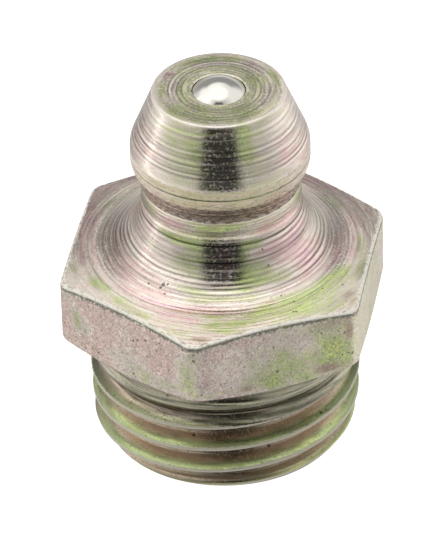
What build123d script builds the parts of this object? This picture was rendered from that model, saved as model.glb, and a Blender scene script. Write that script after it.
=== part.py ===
from build123d import *
import math
import os

os.makedirs("parts", exist_ok=True)

# Straight hydraulic grease nipple with a short taper thread M10x1, hexagon
# across flats 11 and a standard 6.5 mm coupler head. Millimetres, +Z up.
# The origin is the centre of the threaded end face; the axis is Z.

# ---------------------------------------------------------------- dimensions
# threaded shank (thread drawn as its major cylinder)
THREAD_D = 10.0          # M10x1, major diameter at mid length
END_D = 8.8              # diameter of the end face inside the lead-in chamfer
LEAD_IN_H = 0.90         # height of the lead-in chamfer
HEX_Z = 4.85             # underside of the hexagon

# hexagon, turned down from bar
HEX_AF = 10.9            # across flats (nominal 11)
CORNER_D = 12.38         # across the rounded bar corners
SEAT_D = 10.64           # flat ring under the hexagon, inside its chamfer
UNDER_DEG = 19.0         # slope of the chamfer under the hexagon corners
TOP_DEG = 13.0           # slope of the turned cone on top of the hexagon
CONE_Z = 7.69            # height of that cone ...
CONE_R = 5.50            # ... at this radius

# neck and coupler head
NECK_D = 5.8
FLARE_R = 2.2            # hollow between the neck and the cone of the hexagon
HEAD_D = 6.5             # coupler head, largest diameter
TOP_Z = 14.48            # flat top of the head
TOP_D = 4.78             # flat top, to the theoretical corner
GRIP_Z = 11.60           # lower end of the largest diameter
UNDERCUT_Z = 10.80       # the grip shoulder meets the neck here

# grease passage
INLET_D = 1.94           # hole in the top face that the ball closes
INLET_LAND = 0.06        # depth of the straight edge of that hole
BORE_D = 3.0             # passage behind the seat
OUTLET_D = 2.2           # hole left by the lip rolled in over the spring
LIP_H = 0.50             # thickness of the rolled lip

# check ball and its spring
BALL_D = 2.5
BALL_GAP = 0.015         # gap left between ball and seat, and ball and spring
WIRE_D = 0.32            # spring wire
COIL_D = 2.70            # outside diameter of the coils
TURNS = 10.5

# ------------------------------------------------------------ derived values
t_top = math.tan(math.radians(TOP_DEG))
s_top, c_top = math.sin(math.radians(TOP_DEG)), math.cos(math.radians(TOP_DEG))
t_under = math.tan(math.radians(UNDER_DEG))
neck_r = NECK_D / 2
corner_r = CORNER_D / 2

# hollow of radius FLARE_R, tangent to the neck and to the cone
cone_touch_r = neck_r + FLARE_R - FLARE_R * s_top
cone_touch_z = CONE_Z + t_top * (CONE_R - cone_touch_r)
flare_centre = (neck_r + FLARE_R, cone_touch_z + FLARE_R * c_top)
mid_deg = (180 + 270 - TOP_DEG) / 2
flare_mid = (
    flare_centre[0] + FLARE_R * math.cos(math.radians(mid_deg)),
    flare_centre[1] + FLARE_R * math.sin(math.radians(mid_deg)),
)

# conical seat, tangent to the ball where the ball meets the edge of the inlet
ball_r = BALL_D / 2
inlet_r = INLET_D / 2
seat_z = TOP_Z - INLET_LAND
ball_z = seat_z - math.sqrt(ball_r**2 - inlet_r**2) - BALL_GAP
seat_slope = math.sqrt(ball_r**2 - inlet_r**2) / inlet_r
seat_h = (BORE_D / 2 - inlet_r) / seat_slope

# spring: the ball rests in the top coil, the bottom coil on the rolled lip
coil_r = (COIL_D - WIRE_D) / 2
spring_low = LIP_H + BALL_GAP
spring_high = ball_z - math.sqrt((ball_r + WIRE_D / 2) ** 2 - coil_r**2) - BALL_GAP * 2

# ---------------------------------------------------------------------- body
with BuildPart() as body:
    # one turned outline, from the threaded end up to the flat top
    with BuildSketch(Plane.XZ) as outline:
        with BuildLine():
            Polyline(
                (0, 0),
                (END_D / 2, 0),
                (THREAD_D / 2, LEAD_IN_H),
                (THREAD_D / 2, HEX_Z),
                (SEAT_D / 2, HEX_Z),
                (corner_r, HEX_Z + t_under * (corner_r - SEAT_D / 2)),
                (corner_r, CONE_Z - t_top * (corner_r - CONE_R)),
                (cone_touch_r, cone_touch_z),
            )
            ThreePointArc(
                (cone_touch_r, cone_touch_z), flare_mid, (neck_r, flare_centre[1])
            )
            Polyline(
                (neck_r, flare_centre[1]),
                (neck_r, UNDERCUT_Z),
                (HEAD_D / 2, GRIP_Z),
                (HEAD_D / 2, TOP_Z - (HEAD_D - TOP_D) / 2 / 0.412),
                (TOP_D / 2, TOP_Z),
                (0, TOP_Z),
                (0, 0),
            )
        make_face()
        # soft turned edges of the head
        corners = outline.vertices()
        fillet([v for v in corners if abs(v.Y - TOP_Z) < 1e-4 and v.X > 1], radius=0.16)
        corners = outline.vertices()
        fillet(
            [v for v in corners if abs(v.X - HEAD_D / 2) < 1e-4 and v.Y > 12.2],
            radius=1.0,
        )
        corners = outline.vertices()
        fillet(
            [v for v in corners if abs(v.X - HEAD_D / 2) < 1e-4 and v.Y < 11.8],
            radius=0.7,
        )
        corners = outline.vertices()
        fillet(
            [v for v in corners if abs(v.X - neck_r) < 1e-4 and v.Y > 10.6],
            radius=0.5,
        )
    revolve(axis=Axis.Z)

    # the hexagon bar trims everything wider than its flats; corners on +-Y
    with BuildSketch(Plane.XY.offset(-1)):
        RegularPolygon(
            radius=HEX_AF / 2, side_count=6, major_radius=False, rotation=30
        )
    extrude(amount=TOP_Z + 2, mode=Mode.INTERSECT)

    # grease passage: inlet edge, conical ball seat, bore, rolled lip
    with BuildSketch(Plane.XZ):
        with BuildLine():
            Polyline(
                (0, -0.5),
                (OUTLET_D / 2 + 0.15, -0.5),
                (OUTLET_D / 2 + 0.15, 0),
                (OUTLET_D / 2, 0.15),
                (OUTLET_D / 2, LIP_H),
                (BORE_D / 2, LIP_H),
                (BORE_D / 2, seat_z - seat_h),
                (inlet_r, seat_z),
                (inlet_r, TOP_Z + 0.5),
                (0, TOP_Z + 0.5),
                (0, -0.5),
            )
        make_face()
    revolve(axis=Axis.Z, mode=Mode.SUBTRACT)

# ---------------------------------------------------------------- check ball
with BuildPart() as check_ball:
    with BuildSketch(Plane.XZ):
        with BuildLine():
            ThreePointArc((0, ball_z - ball_r), (ball_r, ball_z), (0, ball_z + ball_r))
            Line((0, ball_z + ball_r), (0, ball_z - ball_r))
        make_face()
    revolve(axis=Axis.Z)

# -------------------------------------------------------------------- spring
# the helix overruns both ends and is cut flat there, as ground ends are
pitch = (spring_high + WIRE_D / 2 - spring_low) / TURNS
with BuildPart() as spring:
    with BuildLine() as coil:
        Helix(
            pitch=pitch,
            height=pitch * (TURNS - 0.1),
            radius=coil_r,
            center=(0, 0, spring_low + 0.08),
        )
    with BuildSketch(Plane(origin=coil.line @ 0, z_dir=coil.line % 0)):
        Circle(WIRE_D / 2)
    sweep(path=coil.line, is_frenet=True)
    with BuildSketch(Plane.XY.offset(spring_low)):
        Circle(BORE_D)
    extrude(amount=spring_high + WIRE_D / 2 - 0.06 - spring_low, mode=Mode.INTERSECT)

body.part.label = "body"
check_ball.part.label = "check_ball"
spring.part.label = "spring"

export_step(body.part, "parts/body.step")
export_step(check_ball.part, "parts/check_ball.step")
export_step(spring.part, "parts/spring.step")

print("body volume", round(body.part.volume, 2), "ball z", round(ball_z, 4))
print("seat z", round(seat_z, 3), "cone touch", round(cone_touch_r, 3), round(cone_touch_z, 3))
print("flare centre", flare_centre, "spring", spring_low, round(spring_high, 3), "pitch", round(pitch, 3))
print("spring box", spring.part.bounding_box())
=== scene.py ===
import bpy, math
import numpy as np
from mathutils import Vector, Matrix


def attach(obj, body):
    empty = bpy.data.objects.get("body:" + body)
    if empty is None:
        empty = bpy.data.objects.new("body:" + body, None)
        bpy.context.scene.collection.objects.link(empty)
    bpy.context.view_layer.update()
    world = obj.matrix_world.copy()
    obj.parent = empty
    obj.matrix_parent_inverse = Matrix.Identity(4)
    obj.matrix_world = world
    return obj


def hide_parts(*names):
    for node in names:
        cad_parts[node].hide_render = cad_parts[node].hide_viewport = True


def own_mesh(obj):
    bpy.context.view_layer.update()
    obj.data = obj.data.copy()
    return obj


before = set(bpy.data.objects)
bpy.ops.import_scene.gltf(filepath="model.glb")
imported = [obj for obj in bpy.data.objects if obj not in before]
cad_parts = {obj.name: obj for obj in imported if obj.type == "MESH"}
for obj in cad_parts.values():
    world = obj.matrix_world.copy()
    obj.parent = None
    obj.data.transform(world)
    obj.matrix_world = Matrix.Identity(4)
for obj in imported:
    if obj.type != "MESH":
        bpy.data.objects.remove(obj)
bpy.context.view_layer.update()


MM = 0.001
rad, deg = math.radians, math.degrees

# ------------------------------------------------------------------ the item
# millimetres, as in the CAD part
AF, CORNER_R = 10.9, 6.19
CAM_AZ = 11.02                      # the view is from this azimuth
TH_CAM = rad(-90 + CAM_AZ)          # the same direction as an angle from +X
TOP_Z = 14.48
SEAT_Z, BALL_Z, BALL_R = 14.42, 13.6166, 1.25
T13 = math.tan(rad(13.0))


def cone_z(r):
    return 7.69 + T13 * (5.50 - r)


def wrap(a):
    return (a + np.pi) % (2 * np.pi) - np.pi


def hash01(i, seed):
    """A fixed pseudo-random number in 0..1 for each integer, always the same."""
    x = np.sin(np.asarray(i, float) * 127.1 + seed * 311.7) * 43758.5453
    return x - np.floor(x)


def wave1(x, seed):
    """Smooth noise of one variable, about -1..1."""
    i = np.floor(x)
    f = x - i
    f = f * f * (3 - 2 * f)
    return 2 * (hash01(i, seed) * (1 - f) + hash01(i + 1, seed) * f) - 1


def noise3(x, y, z, seed):
    """Smooth value noise in space, about -1..1."""
    xi, yi, zi = np.floor(x), np.floor(y), np.floor(z)
    fx, fy, fz = x - xi, y - yi, z - zi
    fx, fy, fz = (f * f * (3 - 2 * f) for f in (fx, fy, fz))
    out = 0
    for dx in (0, 1):
        for dy in (0, 1):
            for dz in (0, 1):
                h = hash01((xi + dx) * 57.0 + (yi + dy) * 113.0 + (zi + dz) * 271.0, seed)
                w = (fx if dx else 1 - fx) * (fy if dy else 1 - fy) * (fz if dz else 1 - fz)
                out = out + h * w
    return 2 * out - 1


# columns of the body: denser near the corners of the hexagon
t = np.linspace(-1, 1, 44, endpoint=False)
sector = 30 * (t + 0.2 * np.sin(np.pi * t))
theta = np.concatenate([rad(60 * k) + np.radians(sector) for k in range(6)])
theta = np.sort(wrap(theta - TH_CAM)) + TH_CAM      # the seam is at the back
NT = len(theta)
one = np.ones(NT)
rel = theta - TH_CAM                                # -pi..pi, 0 faces the view
local = (theta + rad(30)) % rad(60) - rad(30)
flat_r = AF / 2 / np.cos(local)
k = 0.022
hex_r = -k * np.log(np.exp(-(flat_r - 5) / k) + np.exp(-(CORNER_R - 5) / k)) + 5
hex_top = cone_z(hex_r)
hex_low = 4.85 + math.tan(rad(19.0)) * (hex_r - 5.32)

def marks_table(length, pitch, depth, seed):
    """Turning marks of one zone: where each cut ends, how deep it is, how dark its edge."""
    b, i = [0.0], 0
    while b[-1] < length + 0.3:
        b.append(b[-1] + pitch * (0.62 + 0.76 * float(hash01(i, seed))))
        i += 1
    n = np.arange(len(b))
    return (np.array(b), depth * (0.35 + 1.0 * hash01(n, seed + 1)),
            hash01(n, seed + 2) ** 1.5 * (n > 1), hash01(n, seed + 3) ** 2)


MARKS = {"top": marks_table(1.16, 0.165, 0.0090, 31), "cone": marks_table(1.92, 0.18, 0.0060, 41),
         "head": marks_table(0.4, 0.14, 0.0050, 51), "under": marks_table(0.7, 0.14, 0.0100, 61),
         "neck": marks_table(0.6, 0.15, 0.0110, 71), "flare": marks_table(2.96, 0.20, 0.0125, 81),
         "hextop": marks_table(1.7, 0.21, 0.0040, 91), "shank": marks_table(2.2, 0.20, 0.0160, 96)}
RC, RS = np.cos(rel), np.sin(rel)


def feed_marks(zone, d):
    """Height of the marks and their light or dark line, at distance d into a zone."""
    B, D, K, L = MARKS[zone]
    d = d * one
    dd = np.clip(d + 0.022 * noise3(RC * 1.1, RS * 1.1, d * 1.2, 5), 0, B[-1] - 1e-6)
    i = np.clip(np.searchsorted(B, dd, "right") - 1, 0, len(B) - 2)
    x = (dd - B[i]) / (B[i + 1] - B[i])
    round_ = np.clip(0.75 + 0.45 * noise3(RC * 1.6, RS * 1.6, d * 4.0, 6), 0.2, 1.2)
    h = D[i] * (4 * (x - 0.5) ** 2 - 0.33) * round_
    h = h * np.clip(d / 0.09, 0, 1)
    near = np.minimum(x, 1 - x)
    j = np.where(x < 0.5, i, i + 1)
    m = -K[j] * np.exp(-(near / 0.15) ** 2) + L[i] * np.exp(-((x - 0.5) / 0.2) ** 2)
    return h, m * np.clip(0.8 + 0.7 * noise3(RC * 2.1, RS * 2.1, d * 3.0, 7), 0.1, 1.4)


def mark_rows(zone, length):
    """Distances for rows that follow the marks: four to each."""
    B = MARKS[zone][0]
    d = np.concatenate([B[i] + (B[i + 1] - B[i]) * np.array([0, 0.25, 0.5, 0.75]) for i in range(len(B) - 1)])
    return d[(d > 0.015) & (d < length - 0.015)]


rows = []        # (r, z, s, zone) with s the length along the turned outline
ZONES = ["bore", "top", "rim", "cone", "head", "under", "neck", "flare", "hextop",
         "edge", "flat", "lowedge", "chamfer", "shank", "end"]
s_now = 0.0
last = None


def add(r, z, zone, s=None, normal=None, d=None):
    """One ring of points; r and z are numbers or one value for each column."""
    global s_now, last
    r, z = r * one, z * one
    here = np.array([r.mean(), z.mean()])
    if s is None:
        if last is not None:
            s_now += float(np.hypot(*(here - last)))
        s = s_now * one
    m = 0 * one
    last = here
    if normal is not None:
        h, m = feed_marks(zone, d)
        r, z = r + normal[0] * h, z + normal[1] * h
    rows.append((r, z, s, ZONES.index(zone), m))


def arc(c, radius, a0, a1, n, zone, first=True):
    for a in np.linspace(rad(a0), rad(a1), n)[0 if first else 1:]:
        add(c[0] + radius * math.cos(a), c[1] + radius * math.sin(a), zone)


def fillet_arc(p0, p1, p2, radius, n, zone, first=True):
    """Round the corner p1 between p0 and p2."""
    p0, p1, p2 = map(np.asarray, (p0, p1, p2))
    a, b = (p0 - p1) / np.linalg.norm(p0 - p1), (p2 - p1) / np.linalg.norm(p2 - p1)
    half = math.acos(float(np.clip(a @ b, -1, 1))) / 2
    cut = radius / math.tan(half)
    centre = p1 + (a + b) / np.linalg.norm(a + b) * radius / math.sin(half)
    q0, q1 = p1 + a * cut - centre, p1 + b * cut - centre
    a0, a1 = math.atan2(q0[1], q0[0]), math.atan2(q1[1], q1[0])
    d = (a1 - a0 + math.pi) % (2 * math.pi) - math.pi
    for f in np.linspace(0, 1, n)[0 if first else 1:]:
        add(centre[0] + radius * math.cos(a0 + d * f), centre[1] + radius * math.sin(a0 + d * f), zone)
    return centre, cut


# passage and seat
add(1.5, 0.5, "bore")
add(1.5, 7.0, "bore")
add(1.5, 13.732, "bore")
add(1.24, 14.07, "bore")
add(0.97, 14.42, "bore")
fillet_arc((0.97, 14.2), (0.97, TOP_Z), (1.2, TOP_Z), 0.035, 4, "top")
for d in mark_rows("top", 1.16):
    add(1.04 + d, TOP_Z, "top", normal=(0, 1), d=d)
fillet_arc((2.0, TOP_Z), (2.39, TOP_Z), (3.25, 12.393), 0.095, 8, "rim")
HL = math.hypot(3.175 - 2.42, 12.576 - 14.407)
for d in mark_rows("cone", HL):
    add(2.42 + (3.175 - 2.42) * d / HL, 14.407 + (12.576 - 14.407) * d / HL, "cone", normal=(0.9246, 0.3810), d=d)
fillet_arc((2.39, TOP_Z), (3.25, 12.393), (3.25, 11.6), 1.0, 9, "head")
for z in np.linspace(12.15, 11.78, 9):
    add(3.25, z, "head", normal=(1, 0), d=12.16 - z)
fillet_arc((3.25, 12.3), (3.25, 11.60), (2.9, 10.80), 0.70, 6, "head")
for f in np.linspace(0, 1, 12)[1:-1]:
    add(3.25 - 0.058 - (0.35 - 0.12) * f, 11.60 - 0.134 - (0.8 - 0.26) * f, "under",
        normal=(0.916, -0.401), d=0.59 * f)
fillet_arc((3.25, 11.60), (2.9, 10.80), (2.9, 10.0), 0.50, 5, "under")
for d in mark_rows("neck", 0.60):
    add(2.9, 10.66 - d, "neck", normal=(1, 0), d=d)
FL = 2.2 * rad(77)
for d in mark_rows("flare", FL):
    a = rad(180) + d / 2.2
    q = (-math.cos(a), -math.sin(a))
    add(5.1 - 2.2 * q[0], 10.0402 - 2.2 * q[1], "flare", normal=q, d=d)
add(4.605, 7.897, "flare")
# the cone on top of the hexagon, out to each flat
edge_r = 0.13
s_hex, r_hex = s_now, 4.605
inner = hex_r - edge_r * 0.78
for f in np.linspace(0, 1, 24)[1:]:
    r = r_hex + (inner - r_hex) * f
    add(r, cone_z(r), "hextop", s=s_hex + (r - r_hex) / math.cos(rad(13)),
        normal=(math.sin(rad(13)), math.cos(rad(13))), d=(r - r_hex) / math.cos(rad(13)) + 0.04)
# rounded upper edge of the hexagon
a_from, a_to = rad(90 - 13), 0.0
ec_r = hex_r - edge_r
ec_z = cone_z(ec_r + edge_r * math.sin(rad(13))) - edge_r * math.cos(rad(13))
for a in np.linspace(a_from, a_to, 8):
    add(ec_r + edge_r * math.cos(a), ec_z + edge_r * math.sin(a), "edge",
        s=s_hex + (ec_r + edge_r * math.cos(a) - r_hex) / math.cos(rad(13)))
low_r = 0.07
z_a, z_b = ec_z, hex_low + low_r
for f in np.linspace(0, 1, 19)[1:-1]:
    add(hex_r, z_a + (z_b - z_a) * f, "flat", s=s_hex + 3.0 + (7.6 - (z_a + (z_b - z_a) * f)))
for a in np.linspace(0, -71, 4):
    add(hex_r - low_r + low_r * math.cos(rad(a)), z_b + low_r * math.sin(rad(a)), "lowedge",
        s=(s_hex + 6.0) * one)
for f in np.linspace(0, 1, 5)[1:]:
    r = (hex_r - low_r * 0.7) + (5.32 - (hex_r - low_r * 0.7)) * f
    add(r, 4.85 + math.tan(rad(19)) * (r - 5.32), "chamfer", s=s_hex + 6.2 + (6.19 - r))
add(5.16, 4.85, "chamfer", s=(s_hex + 7.2) * one)

# ---- threaded shank: rows follow the helix, clamped between z 0.05 and 4.80
PITCH, CREST0 = 1.0, 1.09
shift = PITCH * rel / (2 * np.pi) + 0.15 * np.sin(rel)
offsets = [-0.5, -0.45, -0.40, -0.34, -0.26, -0.18, -0.115, -0.08, -0.05, 0.0,
           0.05, 0.08, 0.115, 0.18, 0.26, 0.34, 0.40, 0.45]
NP = len(offsets)
Z_HI, Z_LO = 4.84, 0.03


def shank_r(z, x):
    """Radius at height z, x being the distance from the nearest crest."""
    crest = 4.865 + 0.032 * z
    depth = 1.0 + np.clip((2.95 - z) / 0.9, -1, 0) * 0.86       # runs out near the hexagon
    depth = np.maximum(depth, 0.10)
    cut = np.maximum(1.732 * (np.abs(x) - 0.055), 0)
    k = 0.04
    cut = -k * np.log(np.exp(-cut / k) + math.exp(-0.60 / k))
    cut = np.maximum(cut, 0) * depth
    r = crest - cut - 0.06 * np.clip((z - 3.2) / 0.6, 0, 1)
    lead = 4.40 + (z / 0.9) * 0.60                                   # lead-in chamfer
    k = 0.03
    return -k * np.log(np.exp(-(r - 4) / k) + np.exp(-(lead - 4) / k)) + 4


first_shank = len(rows)
knots = [(m, o) for m in range(-2, 6) for o in offsets]
for m, o in reversed(knots):
    z = CREST0 + (m + o) * PITCH + shift
    zc = np.clip(z, Z_LO, Z_HI)
    x = (zc - CREST0 - shift) / PITCH
    x = (x - np.round(x)) * PITCH
    gh, gm = feed_marks("shank", 4.85 - zc)
    fade = np.clip((zc - 2.75) / 0.4, 0, 1)
    add(shank_r(zc, x) + (gh - 0.012) * fade, zc, "shank", s=s_hex + 8.0 + (4.85 - zc))
    rows[-1] = rows[-1][:4] + (gm * fade,)
last_shank = len(rows)

# end face and rolled lip
for r, z in ((4.385, 0.012), (4.36, 0.0), (3.2, 0.0), (2.1, 0.0), (1.95, 0.0), (1.90, 0.03),
             (1.80, 0.05), (1.60, 0.05), (1.50, 0.03), (1.45, 0.0), (1.27, 0.0), (1.22, 0.03),
             (1.10, 0.15), (1.10, 0.47), (1.13, 0.50)):
    add(r, z, "end", s=s_hex + 14.0 + (4.4 - r) * one)

rows_hex_s = s_hex
R = np.array([q[0] for q in rows])
Z = np.array([q[1] for q in rows])
S = np.array([q[2] for q in rows])
ZONE = np.array([q[3] for q in rows])[:, None] * np.ones((1, NT), int)
MARK = np.array([q[4] for q in rows])
MARK[ZONE[:, 0] == ZONES.index("top")] *= 1.6
MARK[ZONE[:, 0] == ZONES.index("hextop")] *= 0.3
NR = len(rows)


def zone_is(*names):
    m = np.zeros(R.shape, bool)
    for n in names:
        m |= ZONE == ZONES.index(n)
    return m


# ---- faces: a grid round the axis; the shank's rows step by one pitch at the seam
def build_body():
    X, Y = R * np.cos(theta), R * np.sin(theta)
    P = np.stack([X, Y, Z], -1).reshape(-1, 3)
    idx = np.arange(NR * NT).reshape(NR, NT)
    quads = []
    for i in range(NR):
        j = (i + 1) % NR
        quads.append(np.stack([idx[i, :-1], idx[j, :-1], idx[j, 1:], idx[i, 1:]], -1))
        a, b = i, j                      # across the seam: last column to first column
        if first_shank <= i < last_shank - 1:
            a, b = i - NP, j - NP        # rows are listed from the top down
            if a < first_shank or b >= last_shank:
                a = max(a, first_shank)
                b = max(b, first_shank)
        elif i == last_shank - 1:
            a = i
        if first_shank <= i < last_shank - 1:
            quads.append(np.array([[idx[i, -1], idx[j, -1], idx[b, 0], idx[a, 0]]]))
        else:
            quads.append(np.array([[idx[i, -1], idx[j, -1], idx[j, 0], idx[i, 0]]]))
    F = np.concatenate(quads)
    # close what is left of the seam inside the shank (rows clamped to its lower end)
    # merge equal points
    key = np.round(P, 5)
    uniq, first, inv = np.unique(key, axis=0, return_index=True, return_inverse=True)
    inv = inv.reshape(-1)
    F = inv[F]
    return P[first], first, F


P, source, F = build_body()


def make_mesh(name, P, faces):
    me = bpy.data.meshes.new(name)
    me.from_pydata([tuple(p * MM) for p in P], [], faces)
    me.validate(verbose=False)
    me.update()
    for p in me.polygons:
        p.use_smooth = True
    return me


faces = []
for f in F.tolist():
    g = []
    for v in f:
        if v not in g:
            g.append(v)
    if len(g) >= 3:
        faces.append(g)
me = make_mesh("nipple_body", P, faces)
body = bpy.data.objects.new("nipple_body", me)
bpy.context.collection.objects.link(body)


def give(me, name, values):
    """A named number for every vertex, for the material's nodes."""
    a = me.attributes.new(name, "FLOAT", "POINT")
    a.data.foreach_set("value", np.asarray(values, np.float32).ravel())


assert len(me.vertices) == len(P)
take = lambda grid: (grid * np.ones_like(R)).reshape(-1)[source]

# ---- the colour of the plating, painted on the surface as patches
# each patch: angle from the front (degrees), length along the outline, half
# width (degrees), half height (mm), hue, brightness, strength
HUE = {"bore": .5, "top": .52, "rim": .34, "cone": .42, "head": .44, "under": .24, "neck": .50,
       "flare": .26, "hextop": .30, "edge": .42, "flat": .16, "lowedge": .2, "chamfer": .2,
       "shank": .48, "end": .5}
# brightness of each zone: partly the plating's tone, partly painted light and shade, with the top face, rim and head
# painted lighter and the underside of the head and the neck painted darker
LUM = {"bore": .6, "top": 1.40, "rim": 1.60, "cone": 1.00, "head": 1.28, "under": 0.64, "neck": 0.68,
       "flare": 1.12, "hextop": 1.25, "edge": 1.0, "flat": 0.90, "lowedge": .8, "chamfer": .75,
       "shank": 0.84, "end": .7}
ROUGH = {"bore": .4, "top": .26, "rim": .36, "cone": .14, "head": .70, "under": .36, "neck": .26,
         "flare": .15, "hextop": .34, "edge": .42, "flat": .44, "lowedge": .42, "chamfer": .4,
         "shank": .26, "end": .4}
RUST = {z: 0.0 for z in ZONES} | {"under": .22, "shank": .32, "flat": .10}
pick = lambda table: np.array([table[z] for z in ZONES])[ZONE]
hue, lum, rough, rust = pick(HUE), pick(LUM), pick(ROUGH), pick(RUST)
REL = np.degrees(rel)[None, :] * np.ones_like(R)
# the far side of the hexagon's top is painted darker, a painted shade, and pinker, the plating's colour
back = np.clip((np.abs(REL) - 75) / 40, 0, 1) * zone_is("hextop")
lum, hue = lum * (1 - 0.45 * back), hue * (1 - back) + 0.14 * back
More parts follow.
